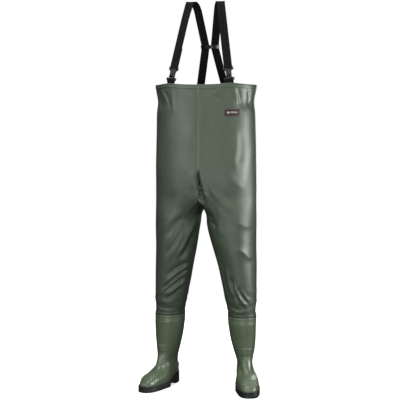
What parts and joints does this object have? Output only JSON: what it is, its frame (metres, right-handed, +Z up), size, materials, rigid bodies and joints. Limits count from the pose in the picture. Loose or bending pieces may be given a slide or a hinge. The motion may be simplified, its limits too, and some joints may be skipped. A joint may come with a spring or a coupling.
{
  "type": "chest waders",
  "caption": "Chest waders: coated trousers with a high bib and moulded boots, held up by elastic braces on side-release buckles",
  "frame": {"origin": "middle of the footprint, on the ground under the waders", "axes": "+Z up, the wearer faces -Y, right pieces at +X"},
  "size_m": [0.549, 0.3703, 1.7565],
  "materials": {
    "coated_cloth": "satin",
    "seam_tape": "satin",
    "boot_pvc": "satin",
    "sole_rubber": "matte",
    "insole_foam": "matte",
    "webbing": "matte",
    "buckle_plastic": "satin",
    "label": "satin"
  },
  "bodies": {
    "garment": {"back_anchor": "seam_tape", "back_keeper": "buckle_plastic", "back_seam_tape": "seam_tape", "crotch_gusset": "seam_tape", "front_seam_tape": "seam_tape", "hem_band": "seam_tape", "label_patch": "label", "left_back_strap": "webbing", "left_body_panel": "coated_cloth", "left_boot_insole": "insole_foam", "left_boot_outsole": "sole_rubber", "left_boot_upper": "boot_pvc", "left_boot_weld_band": "seam_tape", "left_buckle_base": "buckle_plastic", "left_front_anchor": "seam_tape", "left_front_strap": "webbing", "left_front_tab": "webbing", "right_back_strap": "webbing", "right_body_panel": "coated_cloth", "right_boot_insole": "insole_foam", "right_boot_outsole": "sole_rubber", "right_boot_upper": "boot_pvc", "right_boot_weld_band": "seam_tape", "right_buckle_base": "buckle_plastic", "right_front_anchor": "seam_tape", "right_front_strap": "webbing", "right_front_tab": "webbing"},
    "left_buckle_socket": {"left_buckle_socket": "buckle_plastic"},
    "left_buckle_outer_prong": {"left_buckle_outer_prong": "buckle_plastic"},
    "left_buckle_inner_prong": {"left_buckle_inner_prong": "buckle_plastic"},
    "right_buckle_socket": {"right_buckle_socket": "buckle_plastic"},
    "right_buckle_outer_prong": {"right_buckle_outer_prong": "buckle_plastic"},
    "right_buckle_inner_prong": {"right_buckle_inner_prong": "buckle_plastic"}
  },
  "joints": [
    {"name": "right_buckle_release", "type": "slide", "parent": "garment", "child": "right_buckle_socket", "axis": [-0.1636, 0.2692, 0.9491], "range_m": [0, 0.035], "deforming": ["right_front_strap", "right_buckle_outer_prong", "right_buckle_inner_prong"]},
    {"name": "right_outer_prong_press", "type": "hinge", "parent": "garment", "child": "right_buckle_outer_prong", "pos_m": [0.13805, -0.08955, 1.41009], "axis": [0.1659, -0.9408, 0.2955], "range_deg": [0, 9], "stiffness_Nm_per_rad": 1},
    {"name": "right_inner_prong_press", "type": "hinge", "parent": "garment", "child": "right_buckle_inner_prong", "pos_m": [0.12307, -0.09272, 1.40841], "axis": [0.1659, -0.9408, 0.2955], "range_deg": [-9, 0], "stiffness_Nm_per_rad": 1},
    {"name": "left_buckle_release", "type": "slide", "parent": "garment", "child": "left_buckle_socket", "axis": [0.1636, 0.2692, 0.9491], "range_m": [0, 0.035], "deforming": ["left_front_strap", "left_buckle_outer_prong", "left_buckle_inner_prong"]},
    {"name": "left_outer_prong_press", "type": "hinge", "parent": "garment", "child": "left_buckle_outer_prong", "pos_m": [-0.13805, -0.08955, 1.41009], "axis": [-0.1659, -0.9408, 0.2955], "range_deg": [-9, 0], "stiffness_Nm_per_rad": 1},
    {"name": "left_inner_prong_press", "type": "hinge", "parent": "garment", "child": "left_buckle_inner_prong", "pos_m": [-0.12307, -0.09272, 1.40841], "axis": [-0.1659, -0.9408, 0.2955], "range_deg": [0, 9], "stiffness_Nm_per_rad": 1}
  ],
  "couplings": [
    {"joint": "right_inner_prong_press", "follows": "right_outer_prong_press", "ratio": -1},
    {"joint": "left_inner_prong_press", "follows": "left_outer_prong_press", "ratio": -1}
  ]
}
